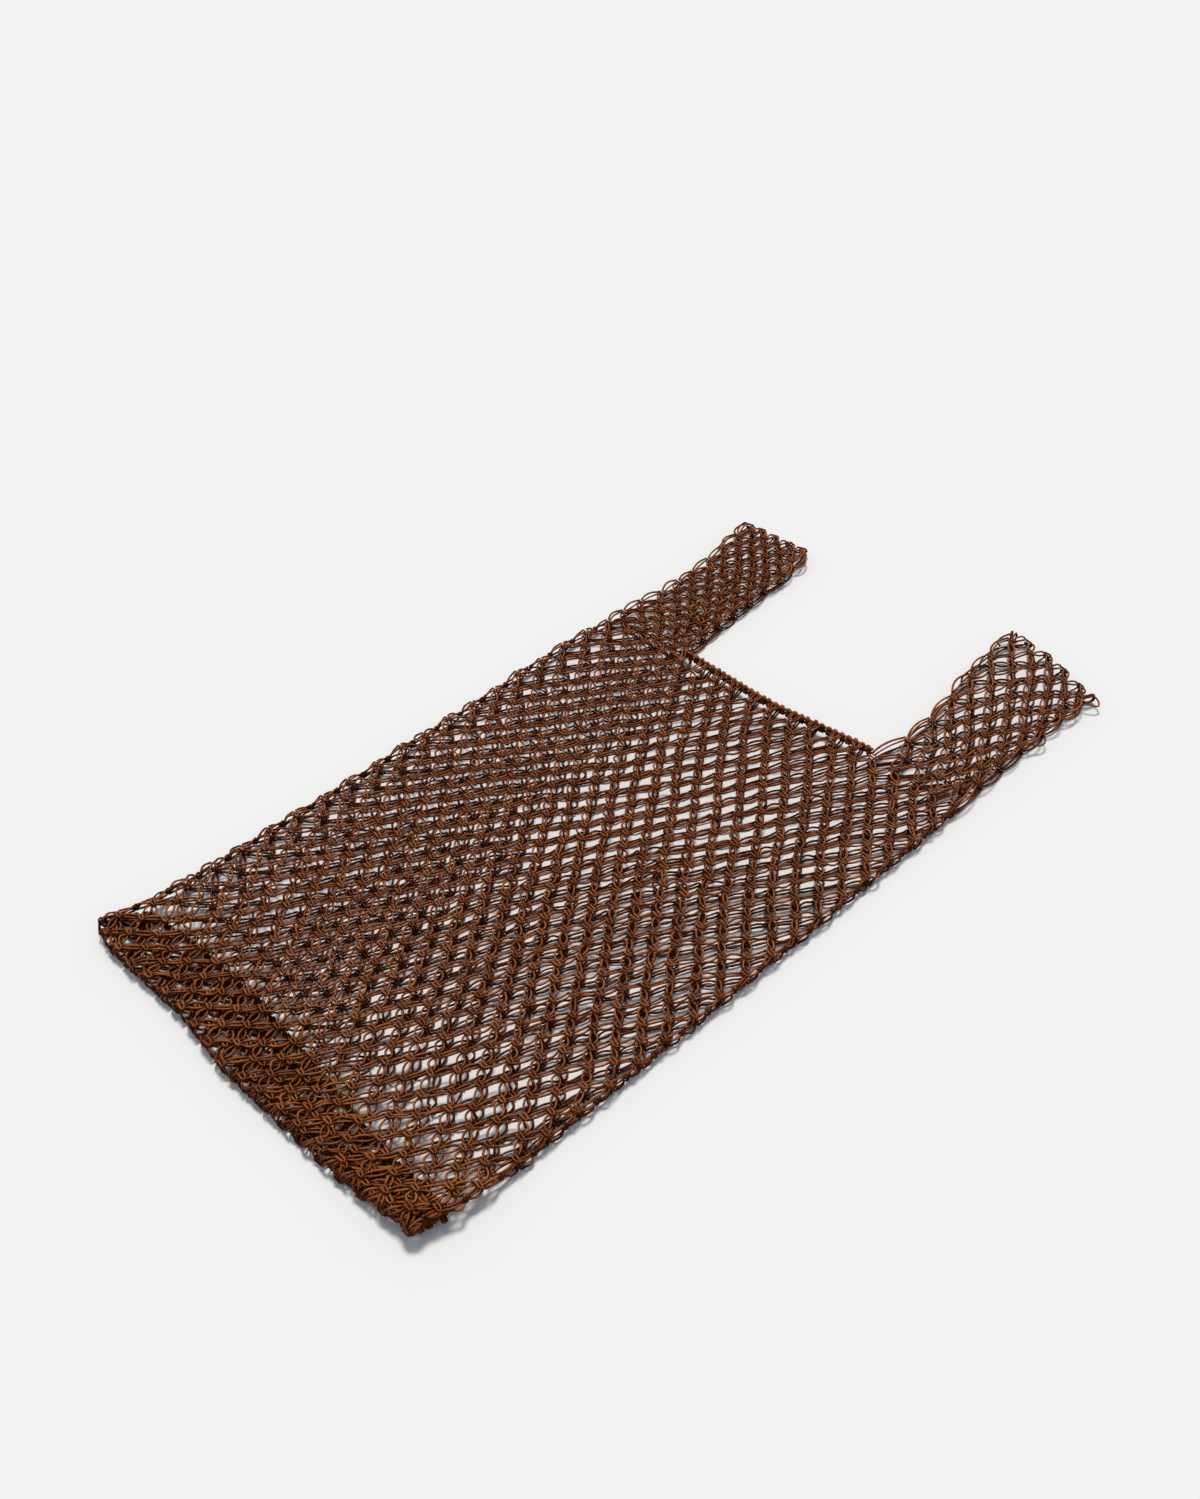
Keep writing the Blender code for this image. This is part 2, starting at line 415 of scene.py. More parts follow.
class Knot:
    """A square knot of four twines, at a place on a cloth, or standing on its own at a side of the tube."""

    def __init__(self, cloth, x, along, lift=0.0, point=None, across=None):
        self.cloth, self.x, self.along, self.lift = cloth, x, along, lift
        self.point, self.across = point, across
        tilt = (KNOT_TILT if point is None else 0.0) + chance.gauss(0.0, KNOT_TILT_VARIES)
        self.cos, self.sin = math.cos(tilt), math.sin(tilt)
        self.size = MM * chance.gauss(KNOT_SIZE if point is None else SIDE_KNOT_SIZE, KNOT_SIZE_VARIES)

    def place(self, across, along, lift):
        """The place on the cloth of a point given in millimetres from the knot's middle."""
        over = self.size * (across * self.cos - along * self.sin)
        up = self.size * (across * self.sin + along * self.cos)
        out = self.lift + self.size * lift
        if self.point is None:
            return np.array((self.x + over, self.along + self.cloth.sign * up, out))
        return over, up, out

    def lay(self, across, along, lift):
        """The point in space of a point given in millimetres from the knot's middle."""
        over, up, out = self.place(across, along, lift)
        if self.point is None:
            return self.cloth.lay(over, up, out)
        outward = self.across.cross(Vector((0, 1, 0)))
        return self.point + over * self.across + Vector((0, up, 0)) + out * outward

    def corner(self, right, below, inner):
        """Where an outer or inner twine leaves the knot."""
        across, along, lift = UPPER_LEFT[inner]
        return (-across if right else across, -along if below else along, lift)

    def twines(self):
        """The front twine and, turned over, the back one."""
        for side in (1, -1):
            yield [self.lay(side * across, along, side * lift) for across, along, lift in FRONT_TURNS]


def strand(low, high, low_corner, high_corner, bow, lift, steps=STRAND_STEPS):
    """The points of one twine from a corner of the lower knot to one of the upper, bowed to the right."""
    if low.point is None and high.point is None and low.cloth is high.cloth:
        shares = [step / steps for step in range(steps + 1)]
        start, end = low.place(*low_corner), high.place(*high_corner)
        run = end - start
        aside = np.array((abs(run[1]), -run[0] * low.cloth.sign, 0.0)) / np.hypot(run[0], run[1]) * bow
        aside[2] = lift
        places = [mixed(start, end, share) + bulge(share) * aside for share in shares]
        return [low.cloth.lay(*place) for place in places]
    start, end = low.lay(*low_corner), high.lay(*high_corner)
    run = (end - start).normalized()
    aside = Vector((run.y, -run.x, 0.0)) * bow + Vector((0, 0, lift))
    return straight_strand(start, end, aside, steps)


def pair(low, high, leans_left):
    """The two twines of one side of a mesh, between the lower knot and the upper one."""
    bow, spread = LEFT_LEANING_BOW if leans_left else RIGHT_LEANING_BOW
    standing = low if low.point is not None else high
    for inner in (0, 1):
        low_corner = low.corner(not leans_left, False, inner)
        high_corner = high.corner(leans_left, True, 1 - inner)
        outward = -1.0 if (inner == 0) == leans_left else 1.0
        aside = outward * chance.gauss(bow, spread)
        if standing.point is not None:
            side = 1.0 if standing.point.x > 0.0 else -1.0
            aside = side * (chance.gauss(*SIDE_BOW) - SIDE_BOW_STEP * (outward != side))
        yield strand(low, high, low_corner, high_corner, aside, chance.gauss(0.0, LIFT_VARIES))


def edge_pair(low, high, side):
    """The two long twines between a knot at the edge of a handle and the next one above it."""
    left, right = high.cloth.outline.sides(high.cloth.outline.fold(high.x) - abs(high.along))
    reach = (right - high.x if side > 0 else high.x - left) - EDGE_INSET
    for inner in (0, 1):
        corners = low.corner(side > 0, False, inner), high.corner(side > 0, True, inner)
        bow = side * (max(reach, EDGE_BOW) * chance.gauss(1.0, EDGE_BOW_VARIES) - inner * EDGE_BOW_STEP)
        yield strand(low, high, *corners, bow, chance.gauss(0.0, EDGE_LIFT_VARIES), steps=LONG_STRAND_STEPS)


def straight_strand(start, end, aside, steps):
    """The points of one twine from one place to another, bowed aside."""
    shares = [step / steps for step in range(steps + 1)]
    return [start.lerp(end, share) + bulge(share) * aside for share in shares]


def pair_to_cord(knot, right, below, end):
    """The two twines from a knot to a cord past the last row."""
    for inner in (0, 1):
        start = knot.lay(*knot.corner(right, below, inner))
        shift = PAIR_HALF * (1.0 if (inner == 0) == right else -1.0)
        reach = Vector((end.x + shift, end.y, end.z))
        slack = Vector((chance.gauss(0.0, CORD_SLACK), 0.0, chance.gauss(0.0, CORD_SLACK)))
        yield straight_strand(start, reach, slack, CORD_STRAND_STEPS)


def back_pair(low, high, leans_right, bow):
    """A pair from the body's back layer to a handle's back, whose knots are turned the other way up."""
    for inner in (0, 1):
        start = low.lay(*low.corner(leans_right, False, inner))
        end = high.lay(*high.corner(leans_right == (bow != 0.0), False, 1 - inner))
        aside = Vector((chance.gauss(bow, BACK_BOW_VARIES), 0.0, 0.0))
        yield straight_strand(start, end, aside, LONG_STRAND_STEPS)


# Making twine


TWINE_TURNS = [2.0 * math.pi * side / TWINE_SIDES for side in range(TWINE_SIDES)]
TWINE_CIRCLE = np.array([(math.cos(turn), math.sin(turn)) for turn in TWINE_TURNS])


def twine_ring():
    """The round outline that every twine is swept with."""
    ring = bpy.data.curves.new("ring", "CURVE")
    spline = ring.splines.new("POLY")
    spline.points.add(TWINE_SIDES - 1)
    spline.use_cyclic_u = True
    for point, (across, up) in zip(spline.points, TWINE_RADIUS * TWINE_CIRCLE):
        point.co = (across, up, 0.0, 1.0)
    return bpy.data.objects.new("ring", ring)


def add_twine(curve, path):
    """Adds one twine to a curve, clear of the floor, and gives its rings of turns and its tone: its own
    random tone, less a painted shade where it lies low in the stack.
    """
    points = np.array(path, float)
    thickness = chance.gauss(1.0, TWINE_VARIES)
    scales = np.clip([chance.gauss(thickness, TWINE_VARIES) for _ in path], THINNEST, THICKEST)
    points[:, 2] = np.maximum(points[:, 2], TWINE_RADIUS * scales + FLOOR_GAP)
    steps = np.linalg.norm(np.diff(points, axis=0), axis=1)
    kept = np.concatenate(([True], steps > SHORTEST_STEP))
    points, scales = points[kept], scales[kept]
    spline = curve.splines.new("POLY")
    spline.points.add(len(points) - 1)
    spline.points.foreach_set("co", np.column_stack((points, np.ones(len(points)))).ravel())
    spline.points.foreach_set("radius", scales)
    steps = np.linalg.norm(np.diff(points, axis=0), axis=1)
    along = np.concatenate(([0.0], np.cumsum(steps))) + chance.random()
    rings = np.array([np.column_stack((TWINE_CIRCLE, np.full(TWINE_SIDES, distance))) for distance in along])
    # Painted shade: twine that lies low in the stack is made darker, for the shade between the layers
    lowness = min(1.0, max(0.0, LOW_TWINE_START - points[:, 2].mean() / LOW_TWINE))
    tone_and_painted_shade = chance.random() - LOW_TWINE_PAINTED_SHADE * lowness
    return rings, tone_and_painted_shade


def mark_twines(mesh, twines):
    """Sets the turns and the tones, with their painted shade for low twine, of a swept mesh, where the caps
    of all twines come before their walls.
    """
    turns = [ring for rings, _ in twines for ring in (rings[0], rings[-1])]
    turns += [rings.reshape(-1, 3) for rings, _ in twines]
    tones_and_painted_shade = [np.full(2 * TWINE_SIDES, tone_and_painted_shade) for _, tone_and_painted_shade in twines]
    tones_and_painted_shade += [np.full(len(rings) * TWINE_SIDES, tone_and_painted_shade) for rings, tone_and_painted_shade in twines]
    turn = mesh.attributes.new("turn", "FLOAT_VECTOR", "POINT")
    turn.data.foreach_set("vector", np.concatenate(turns).ravel())
    mesh.attributes.new("tone_and_painted_shade", "FLOAT", "POINT").data.foreach_set("value", np.concatenate(tones_and_painted_shade))


def mark_facing(mesh):
    """Sets how squarely each point faces up or down, which the material paints as a highlight on the tops and
    undersides of the twines.
    """
    slopes = np.empty(3 * len(mesh.vertices))
    mesh.vertex_normals.foreach_get("vector", slopes)
    mesh.attributes.new("facing", "FLOAT", "POINT").data.foreach_set("value", np.abs(slopes[2::3]))


def twine_piece(name, paths):
    """One mesh of many twines.

    Its attribute "turn" holds the cosine and sine of each point's turn about its twine and its distance along
    it; another holds its twine's own random tone, less a painted shade where the twine lies low in the stack;
    and another how squarely it faces up or down, which the material paints as a highlight.
    """
    ring = twine_ring()
    curve = bpy.data.curves.new(name, "CURVE")
    curve.dimensions = "3D"
    curve.bevel_mode = "OBJECT"
    curve.bevel_object = ring
    curve.use_fill_caps = True
    twines = [add_twine(curve, path) for path in paths]
    holder = bpy.data.objects.new(name, curve)
    bpy.context.scene.collection.objects.link(ring)
    bpy.context.scene.collection.objects.link(holder)
    shaped = holder.evaluated_get(bpy.context.evaluated_depsgraph_get())
    mesh = bpy.data.meshes.new_from_object(shaped)
    bpy.data.objects.remove(holder)
    bpy.data.objects.remove(ring)
    mark_twines(mesh, twines)
    bm = bmesh.new()
    bm.from_mesh(mesh)
    bmesh.ops.remove_doubles(bm, verts=bm.verts, dist=WELD)
    bmesh.ops.recalc_face_normals(bm, faces=bm.faces)
    bm.to_mesh(mesh)
    bm.free()
    mesh.name = name
    mesh.shade_smooth()
    mark_facing(mesh)
    piece = bpy.data.objects.new(name, mesh)
    bpy.context.scene.collection.objects.link(piece)
    return piece


# The net


BODY = Outline("net_body", 1)
HANDLES = {"left": Outline("left_handle", -1), "right": Outline("right_handle", -1)}
FRONT_CLOTH = Cloth(BODY, 0, FRONT_FOLD)
BACK_CLOTH = Cloth(BODY, 1, BACK_FOLD)
TURNED_UNDER_XS = np.linspace(BODY.low_xs[0], BODY.low_xs[-1], TURN_SAMPLES)
TURNED_UNDER = np.array([BODY.turned_under_end(x) for x in TURNED_UNDER_XS])


def base_length(cloth, x):
    """How far along the cloth the turned-under part reaches."""
    return cloth.along_at(x, np.interp(x, TURNED_UNDER_XS, TURNED_UNDER))


def row_along(cloth, row, x):
    """How far along the cloth a half row of the body lies."""
    if row < 0:
        return base_length(cloth, x) * row / (BASE_ROWS + SEAM_GAP_ROWS)
    return cloth.along_at(x, BODY.mouth(x) - MOUTH_GAP) * row / BODY_ROWS


def table_value(table, share, height):
    """The across and along values of a drift table, also between its lines, in metres."""
    lines = [[np.interp(share, DRIFT_ACROSS, axis) for axis in zip(*line)] for line in table.values()]
    return [MM * float(np.interp(height, list(table), axis)) for axis in zip(*lines)]


def drift(cloth, row, share):
    """How far a knot of the body has drifted across and along."""
    height = max(row, 0) / BODY_ROWS
    fade = 1.0 + min(row, 0) / (BASE_ROWS + SEAM_GAP_ROWS)
    across, along = table_value(FRONT_DRIFT, share, height)
    across *= off_sides(share, DRIFT_SLOPE)
    if cloth is BACK_CLOTH:
        slip_across, slip_along = table_value(BACK_SLIP, share, height)
        across += off_sides(share, BACK_SLIP_SLOPE) * slip_across
        along += off_sides(share, BACK_SLIP_SLOPE) * slip_along
    return fade * across, fade * along


def body_y(cloth, x, along):
    """How far up the bag a place on the cloth lies."""
    return cloth.outline.fold(x) + cloth.outer + abs(along) - cloth.flat_start


def body_place(cloth, row, share, inset):
    """Across and along for a knot of the body at its share of the way across."""
    x = mixed(BODY.left[0], BODY.right[0], share)
    inset += CORNER_ROUND * max(0.0, 1.0 - abs(row) / CORNER_ROWS)
    # The sides lean, so how far across a knot lies and how far along depend on each other
    for _ in range(2):
        along = row_along(cloth, row, x)
        left, right = BODY.sides(body_y(cloth, x, along))
        x = mixed(left + inset, right - inset, share)
    drift_across, drift_along = drift(cloth, row, share)
    x += TUCK_SLIP * off_sides(share, DRIFT_SLOPE) * min(1.0, max(0, -row) / TUCK_SLIP_ROWS)
    return x + drift_across, along + drift_along


def body_knots(cloth):
    """The knots of one layer of the body by half row and half column."""
    lift = 0.0 if cloth is FRONT_CLOTH else BACK_KNOT_LIFT
    knots = {}
    for row in range(-BASE_ROWS, BODY_ROWS + 1):
        for column in range(row % 2, 2 * COLUMNS + 1 - row % 2, 2):
            x, along = body_place(cloth, row, column / (2 * COLUMNS), EDGE_KNOT_INSET)
            x += chance.gauss(0.0, KNOT_STRAYS)
            along += chance.gauss(0.0, KNOT_STRAYS)
            knots[row, column] = Knot(cloth, x, along, lift)
    for column in range(2 * HANDLE_COLUMNS + 1, 2 * (COLUMNS - HANDLE_COLUMNS), 2):
        x, along = body_place(cloth, BODY_ROWS + 1, column / (2 * COLUMNS), EDGE_KNOT_INSET)
        if body_y(cloth, x, along) < BODY.mouth(x) - LAST_KNOT_OFF_MOUTH:
            knots[BODY_ROWS + 1, column] = Knot(cloth, x, along, lift)
    return knots


def add_side_knots(front, back):
    """Adds the shared knots of the odd half rows at the two sides, where the front turns into the back."""
    for row in range(-BASE_ROWS, BODY_ROWS, 2):
        for side in (-1, 1):
            share = (side + 1) / 2
            x, along = body_place(FRONT_CLOTH, row, share, SIDE_KNOT_INSET)
            top = FRONT_CLOTH.lay(x, along)
            under = BACK_CLOTH.lay(x, body_place(BACK_CLOTH, row, share, SIDE_KNOT_INSET)[1])
            middle = (top + under) / 2
            across = Vector((0, 0, -side))
            column = -1 if side < 0 else 2 * COLUMNS + 1
            front[row, column] = Knot(None, x, along, point=middle, across=across)
            back[row, column] = Knot(None, x, along, point=middle, across=-across)


def handle_knots(side, cloth):
    """The knots of a handle by half row from the tip, negative on its back, and half column of the body."""
    first_column = 0 if side == "left" else 2 * (COLUMNS - HANDLE_COLUMNS)
    rows = HANDLE_ROWS[side]
    tip_inset, low_inset = HANDLE_INSETS[side]
    tip_slip, low_slip = HANDLE_SLIP[side]
    knots = {}
    for row in range(1 - rows, rows):
        start = (row + rows) % 2
        face, body_cloth = (1, FRONT_CLOTH) if row >= 0 else (-1, BACK_CLOTH)
        way = abs(row) / rows
        way *= 1.0 + HANDLE_CLOSING[side] * (1.0 - way)
        inset = mixed(tip_inset, low_inset, min(1.0, 2.0 * way))
        for column in range(start, 2 * HANDLE_COLUMNS + 1 - start, 2):
            share = column / (2 * HANDLE_COLUMNS)
            body_share = (first_column + column) / (2 * COLUMNS)
            drift_across, drift_along = drift(body_cloth, BODY_ROWS, body_share)
            # x depends on y and y on x, so they are worked out in turns
            y = cloth.outline.ys[-1]
            for _ in range(3):
                left, right = cloth.outline.sides(y)
                x = mixed(left + inset, right - inset, share)
                along = face * way * cloth.along_at(x, BODY.mouth(x) - MOUTH_GAP + drift_along)
                y = cloth.outline.fold(x) - abs(along)
            if face < 0:
                x += MM * mixed(tip_slip[0], low_slip[0], way) * off_sides(share, HANDLE_SLIP_SLOPE)
                along += MM * mixed(tip_slip[1], low_slip[1], way) * way
            x += way * drift_across
            x += chance.gauss(0.0, KNOT_STRAYS)
            along += chance.gauss(0.0, KNOT_STRAYS)
            knots[row, first_column + column] = Knot(cloth, x, along, 0.0 if face > 0 else -BACK_KNOT_LIFT)
    return knots


def net_paths(knots, rows, up):
    """The twines of a stretch of net: its knots, and the pairs from each knot to the two above it."""
    paths = []
    for (row, column), knot in knots.items():
        if row not in rows:
            continue
        if knot.point is None or knot.across.z * (column - COLUMNS) < 0.0:
            paths += knot.twines()
        for side in (-1, 1):
            other = knots.get((row + up, column + side))
            if other is not None:
                paths += pair(knot, other, side < 0)
    return paths


def handle_paths(knots, front, back, side, cloth):
    """All the twines of a handle, with the pairs that join it to the two layers of the body."""
    top = HANDLE_ROWS[side]
    paths = net_paths(knots, range(1 - top, top), -1)
    edges = (0, 2 * HANDLE_COLUMNS) if side == "left" else (2 * (COLUMNS - HANDLE_COLUMNS), 2 * COLUMNS)
    # In front, the body's last row stands for one more row of the handle
    joined = dict(knots)
    for (row, column), knot in front.items():
        if row == BODY_ROWS and edges[0] <= column <= edges[1]:
            joined[top, column] = knot
    for (row, column), knot in joined.items():
        for lean, edge in zip((-1, 1), edges):
            above = joined.get((row - 2, column))
            if column == edge and above is not None:
                paths += edge_pair(knot, above, lean)
            if row == top and (row - 1, column + lean) in knots:
                paths += pair(knot, knots[row - 1, column + lean], lean < 0)
    # Behind, the two are turned opposite ways up, so the pairs between them are made another way
    for (row, column), knot in back.items():
        if row != BODY_ROWS or not edges[0] <= column <= edges[1]:
            continue
        for lean, edge in zip((-1, 1), edges):
            if (1 - top, column + lean) in knots:
                paths += back_pair(knot, knots[1 - top, column + lean], lean > 0, 0.0)
            if column == edge:
                paths += back_pair(knot, knots[2 - top, column], lean > 0, lean * EDGE_BOW)
    return paths + list(loose_loops(side, cloth))


def loose_loops(side, cloth):
    """Slack loops at the sides of a handle, each of one twine between two places a little inside the side."""
    for lean, start, end, reach in LOOSE_LOOPS[side]:
        path = []
        for step in range(LOOP_STEPS + 1):
            share = step / LOOP_STEPS
            along = MM * mixed(start, end, share)
            out = lean * MM * (reach * bulge(share) ** LOOP_ROUNDNESS - LOOP_END_INSET * (1.0 - bulge(share)))
            y = cloth.outline.fold(0.0) - along
            for _ in range(2):
                x = cloth.outline.sides(y)[(lean + 1) // 2] + out
                y = cloth.outline.fold(x) - along
            inside = cloth.outline.sides(y)[(lean + 1) // 2] - lean * HEIGHT_INSET
            path.append(Vector((x, y, cloth.height(inside, y, False) - LOOP_DROP * bulge(share))))
        yield path


def bead_paths(line):
    """A row of close slanting knots along a line of points, round two straight core twines."""
    points = [Vector(point) for point in line]
    lengths = np.concatenate(([0.0], np.cumsum([(b - a).length for a, b in zip(points, points[1:])])))
    coordinates = np.array([tuple(point) for point in points])
    count = round(lengths[-1] / BEAD_SPACING)

    def at(distance):
        return Vector([np.interp(distance, lengths, coordinates[:, axis]) for axis in range(3)])

    paths = []
    for bead in range(count):
        middle = (bead + 0.5 + chance.uniform(-BEAD_STRAYS, BEAD_STRAYS)) * lengths[-1] / count
        radius = BEAD_RADIUS * chance.gauss(1.0, BEAD_RADIUS_VARIES)
        centre = at(middle)
        forward = (at(middle + MM) - at(middle - MM)).normalized()
        side = forward.cross(Vector((0, 0, 1))).normalized()
        path = []
        for step in range(BEAD_STEPS + 1):
            share = step / BEAD_STEPS
            turn = 2.0 * math.pi * BEAD_TURNS * share + BEAD_START
            shift = mixed(-0.5, 0.5, share) * BEAD_LENGTH + BEAD_SLANT * 0.5 * math.sin(turn)
            out = side * math.sin(turn) + Vector((0, 0, math.cos(turn)))
            path.append(centre + forward * shift + radius * out)
        paths.append(path)
    steps = CORE_STEPS * count
    for core in (-CORE_HALF, CORE_HALF):
        aside = Vector((0.0, core, 0.0))
        paths.append([at(lengths[-1] * step / steps) + aside for step in range(steps + 1)])
    return paths


def neck_point(cloth, x):
    """Where the cord along the neck runs, the back's close under the front's and a little nearer the base."""
    y = BODY.mouth(x) + CORD_OFF_MOUTH
    z = FRONT_CLOTH.height(x, y - CORD_HEIGHT_INSET, False)
    return Vector((x, y, z)) if cloth is FRONT_CLOTH else Vector((x, y - BACK_CORD_DROP, z - CORDS_APART))


def neck_paths(knots, cloth):
    """The row of close knots along the neck, and the pairs that come up to it."""
    first, last = 2 * HANDLE_COLUMNS, 2 * (COLUMNS - HANDLE_COLUMNS)
    low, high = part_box("front_neck_edge")
    paths = bead_paths([neck_point(cloth, x) for x in np.linspace(low.x, high.x, CORD_POINTS)])
    for (row, column), knot in knots.items():
        if row < BODY_ROWS or not first < column < last:
            continue
        for side in (-1, 1):
            if (row + 1, column + side) in knots:
                continue
            end = neck_point(cloth, min(max(knot.x + side * CORD_REACH, low.x), high.x))
            paths += pair_to_cord(knot, side > 0, False, end)
    return paths


def seam_point(x):
    """Where the row that closes the base runs, under the end of what is turned under."""
    y = np.interp(x, TURNED_UNDER_XS, TURNED_UNDER)
    return Vector((x, y, FRONT_CLOTH.height(x, y, False) - 2.0 * FRONT_FOLD + SEAM_LIFT))


def seam_paths(front, back):
    """The row that closes the base, under the bag, and the pairs of both layers that come to it."""
    first, last = BODY.low_xs[0], BODY.low_xs[-1]
    paths = bead_paths([seam_point(x) for x in np.linspace(first, last, SEAM_POINTS)])
    for knots in (front, back):
        for (row, column), knot in knots.items():
            if row != -BASE_ROWS:
                continue
            for side in (-1, 1):
                end = seam_point(min(max(knot.x + side * SEAM_REACH, first), last))
                paths += pair_to_cord(knot, side > 0, True, end)
    return paths


# Floor, light and camera


def floor():
    bm = bmesh.new()
    bmesh.ops.create_grid(bm, x_segments=1, y_segments=1, size=FLOOR_WIDTH / 2)
    mesh = bpy.data.meshes.new(FLOOR_PIECE)
    bm.to_mesh(mesh)
    bm.free()
    piece = bpy.data.objects.new(FLOOR_PIECE, mesh)
    bpy.context.scene.collection.objects.link(piece)
    material = bpy.data.materials.new("pale_floor")
    material.use_nodes = True
    shader = material.node_tree.nodes["Principled BSDF"]
    shader.inputs["Base Color"].default_value = (FLOOR_GREY, FLOOR_GREY, FLOOR_GREY, 1.0)
    shader.inputs["Roughness"].default_value = 1.0
    shader.inputs["Specular IOR Level"].default_value = 0.0
    mesh.materials.append(material)


def lights():
    world = bpy.data.worlds.new("sky")
    world.use_nodes = True
    sky = world.node_tree.nodes["Background"]
    sky.inputs["Color"].default_value = (*SKY_COLOUR, 1.0)
    sky.inputs["Strength"].default_value = SKY_STRENGTH
    bpy.context.scene.world = world
    sun = bpy.data.lights.new("sun", "SUN")
    sun.energy = SUN_STRENGTH
    sun.angle = SUN_SIZE
    sun.color = SUN_COLOUR
    lamp = bpy.data.objects.new("sun", sun)
    lamp.rotation_euler = Vector(SUN_DIRECTION).to_track_quat("-Z", "Y").to_euler()
    bpy.context.scene.collection.objects.link(lamp)


def camera():
    data = bpy.data.cameras.new("camera")
    data.lens = CAMERA_LENS
    eye = bpy.data.objects.new("camera", data)
    eye.location = CAMERA_PLACE
    eye.rotation_euler = (CAMERA_TILT, 0.0, CAMERA_TURN)
    bpy.context.scene.collection.objects.link(eye)
    bpy.context.scene.camera = eye
    bpy.context.scene.view_settings.view_transform = "Standard"


# Materials


def value_node(tree, operation, first, second=None, clamp=False):
    """A Math node whose inputs are sockets or plain numbers."""
    node = tree.nodes.new("ShaderNodeMath")
    node.operation = operation
    node.use_clamp = clamp
    for socket, source in zip(node.inputs, (first, second)):
        if isinstance(source, bpy.types.NodeSocket):
            tree.links.new(source, socket)
        elif source is not None:
            socket.default_value = source
    return node.outputs[0]


def noise_node(tree, scale, detail):
    """A Noise Texture node on the object's own coordinates."""
    place = tree.nodes.new("ShaderNodeTexCoord")
    noise = tree.nodes.new("ShaderNodeTexNoise")
    noise.inputs["Scale"].default_value = scale
    noise.inputs["Detail"].default_value = detail
    tree.links.new(place.outputs["Object"], noise.inputs["Vector"])
    return noise.outputs[0]


def twisted_twine_group():
    """The lay of a two-ply twine and its loose fibres, from the attributes that follow each twine."""
    group = bpy.data.node_groups.new("twisted_twine", "ShaderNodeTree")
    pitch = group.interface.new_socket("Pitch", in_out="INPUT", socket_type="NodeSocketFloat")
    pitch.default_value = TWINE_PITCH
    for name in ("Height", "Groove", "Fibre", "Tone_and_painted_shade", "Worn"):
        group.interface.new_socket(name, in_out="OUTPUT", socket_type="NodeSocketFloat")
    given, made = group.nodes.new("NodeGroupInput"), group.nodes.new("NodeGroupOutput")
    turn, tone_and_painted_shade, facing = (group.nodes.new("ShaderNodeAttribute") for _ in range(3))
    turn.attribute_name, tone_and_painted_shade.attribute_name, facing.attribute_name = "turn", "tone_and_painted_shade", "facing"
    parts = group.nodes.new("ShaderNodeSeparateXYZ")
    group.links.new(turn.outputs["Vector"], parts.inputs[0])
    turns = value_node(group, "DIVIDE", parts.outputs[2], given.outputs["Pitch"])
    angle = value_node(group, "MULTIPLY", turns, 2.0 * math.pi)
    across = value_node(group, "MULTIPLY", parts.outputs[0], value_node(group, "COSINE", angle))
    around = value_node(group, "MULTIPLY", parts.outputs[1], value_node(group, "SINE", angle))
    # The plies' ridges wind round the twine: the sum is 1 on one, -1 on the other and 0 in the grooves
    ply = value_node(group, "ABSOLUTE", value_node(group, "ADD", across, around))
    # Where the grooves lie, which the material darkens as a painted shade
    groove = value_node(group, "POWER", value_node(group, "SUBTRACT", 1.0, ply, True), GROOVE_POWER)
    fibre = noise_node(group, FIBRE_SCALE, FIBRE_DETAIL)
    height = value_node(group, "ADD", ply, value_node(group, "MULTIPLY", fibre, FIBRE_HEIGHT))
    outputs = {"Height": height, "Groove": groove, "Fibre": fibre}
    outputs.update({"Tone_and_painted_shade": tone_and_painted_shade.outputs["Fac"], "Worn": facing.outputs["Fac"]})
    for name, socket in outputs.items():
        group.links.new(socket, made.inputs[name])
    return group


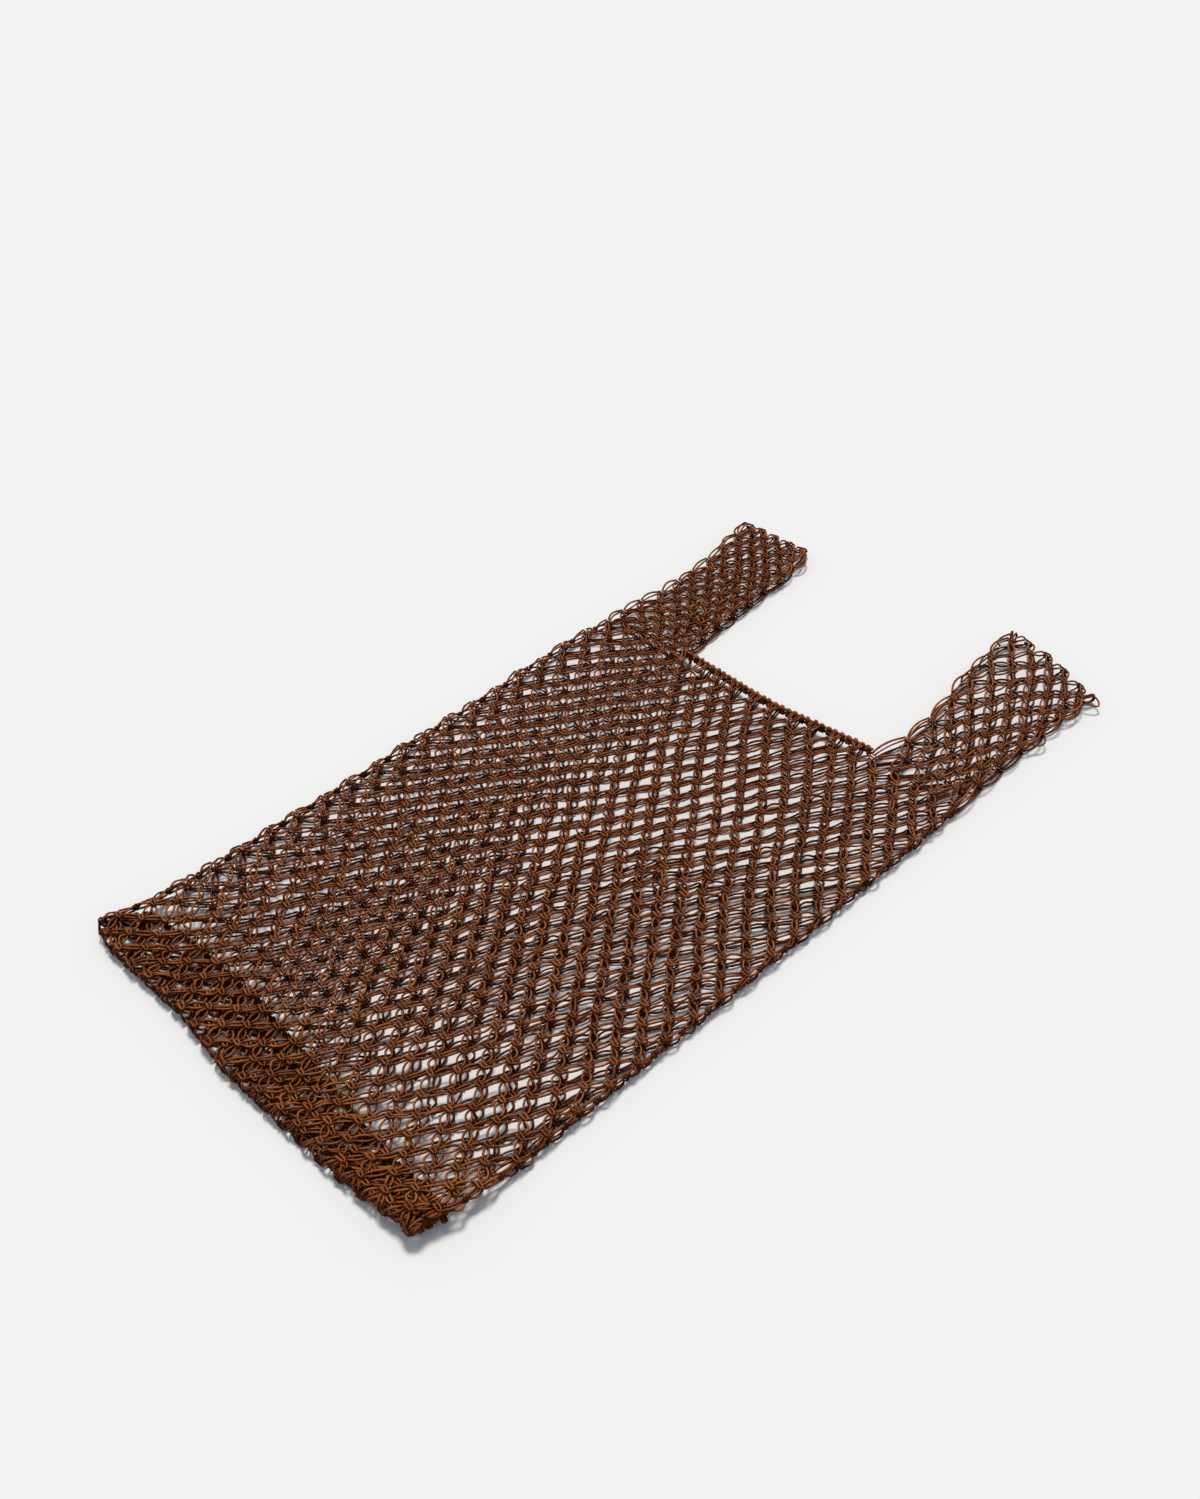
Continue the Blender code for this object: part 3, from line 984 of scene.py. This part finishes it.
def twine_material(name, group, dark, light):
    """Dyed twine: each twine's own random tone with patches and fibre flecks; a painted shade where a twine
    lies low in the stack and in the grooves of its lay; and a painted highlight where it faces up or down.
    """
    material = bpy.data.materials.new(name)
    material.use_nodes = True
    tree = material.node_tree
    shader = tree.nodes["Principled BSDF"]
    twist = tree.nodes.new("ShaderNodeGroup")
    twist.node_tree = group
    twist.inputs["Pitch"].default_value = TWINE_PITCH
    # Each twine's random tone, with the painted shade of twine that lies low
    shade = value_node(tree, "MULTIPLY", twist.outputs["Tone_and_painted_shade"], TONE_AND_PAINTED_SHADE_WEIGHT)
    patch = value_node(tree, "MULTIPLY", noise_node(tree, PATCH_SCALE, PATCH_DETAIL), PATCH_WEIGHT)
    fleck = value_node(tree, "MULTIPLY", twist.outputs["Fibre"], FIBRE_WEIGHT)
    # Painted highlight where the twine faces up or down
    facing = value_node(tree, "POWER", twist.outputs["Worn"], PAINTED_HIGHLIGHT_POWER)
    painted_highlight = value_node(tree, "MULTIPLY", facing, PAINTED_HIGHLIGHT_WEIGHT)
    # Painted shade in the grooves of the lay
    groove = value_node(tree, "MULTIPLY", twist.outputs["Groove"], GROOVE_PAINTED_SHADE_WEIGHT)
    mix = value_node(tree, "ADD", value_node(tree, "ADD", shade, patch), fleck)
    mix = value_node(tree, "SUBTRACT", value_node(tree, "ADD", mix, painted_highlight), groove)
    mix = value_node(tree, "SUBTRACT", mix, DARKER_BY, True)
    ramp = tree.nodes.new("ShaderNodeValToRGB")
    ramp.color_ramp.elements[0].color = (*dark, 1.0)
    ramp.color_ramp.elements[1].color = (*light, 1.0)
    tree.links.new(mix, ramp.inputs["Fac"])
    tree.links.new(ramp.outputs["Color"], shader.inputs["Base Color"])
    bump = tree.nodes.new("ShaderNodeBump")
    bump.inputs["Strength"].default_value = BUMP_STRENGTH
    bump.inputs["Distance"].default_value = BUMP_DISTANCE
    tree.links.new(twist.outputs["Height"], bump.inputs["Height"])
    tree.links.new(bump.outputs["Normal"], shader.inputs["Normal"])
    shader.inputs["Roughness"].default_value = TWINE_ROUGHNESS
    shader.inputs["Specular IOR Level"].default_value = TWINE_SPECULAR
    return material


# The pieces


def finish_piece(piece, material, nodes):
    piece.data.materials.append(material)
    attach(piece, "root")
    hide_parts(*nodes)


def make_body(front, back):
    """The body's net, one piece for each half of each layer, with the rows at the base and the neck."""
    body_twine = twine_material("body_twine", TWISTED_TWINE, DARK_BROWN, LIGHT_BROWN)
    neck_twine = twine_material("neck_twine", TWISTED_TWINE, DARK_BROWN, LIGHT_BROWN)
    middle_row = BODY_ROWS // 2
    seam = twine_piece("base_seam", seam_paths(front, back))
    finish_piece(seam, body_twine, ["net_body"])
    for layer, knots, cloth in (("front", front, FRONT_CLOTH), ("back", back, BACK_CLOTH)):
        lower = twine_piece(f"{layer}_net_lower", net_paths(knots, range(-BASE_ROWS, middle_row), 1))
        upper = twine_piece(f"{layer}_net_upper", net_paths(knots, range(middle_row, BODY_ROWS + 2), 1))
        neck = twine_piece(f"{layer}_neck_row", neck_paths(knots, cloth))
        for piece in (lower, upper):
            finish_piece(piece, body_twine, ["net_body"])
        finish_piece(neck, neck_twine, [f"{layer}_neck_edge"])


def make_handles(front, back):
    """Each handle's net, front and back in one piece."""
    handle_twine = twine_material("handle_twine", TWISTED_TWINE, DARK_BROWN, LIGHT_BROWN)
    for side in ("left", "right"):
        cloth = Cloth(HANDLES[side], 0, TIP_FOLD)
        knots = handle_knots(side, cloth)
        piece = twine_piece(f"{side}_handle_net", handle_paths(knots, front, back, side, cloth))
        finish_piece(piece, handle_twine, [f"{side}_handle"])


def make_bag():
    front, back = body_knots(FRONT_CLOTH), body_knots(BACK_CLOTH)
    add_side_knots(front, back)
    make_body(front, back)
    make_handles(front, back)


TWISTED_TWINE = twisted_twine_group()
camera()
floor()
lights()
make_bag()
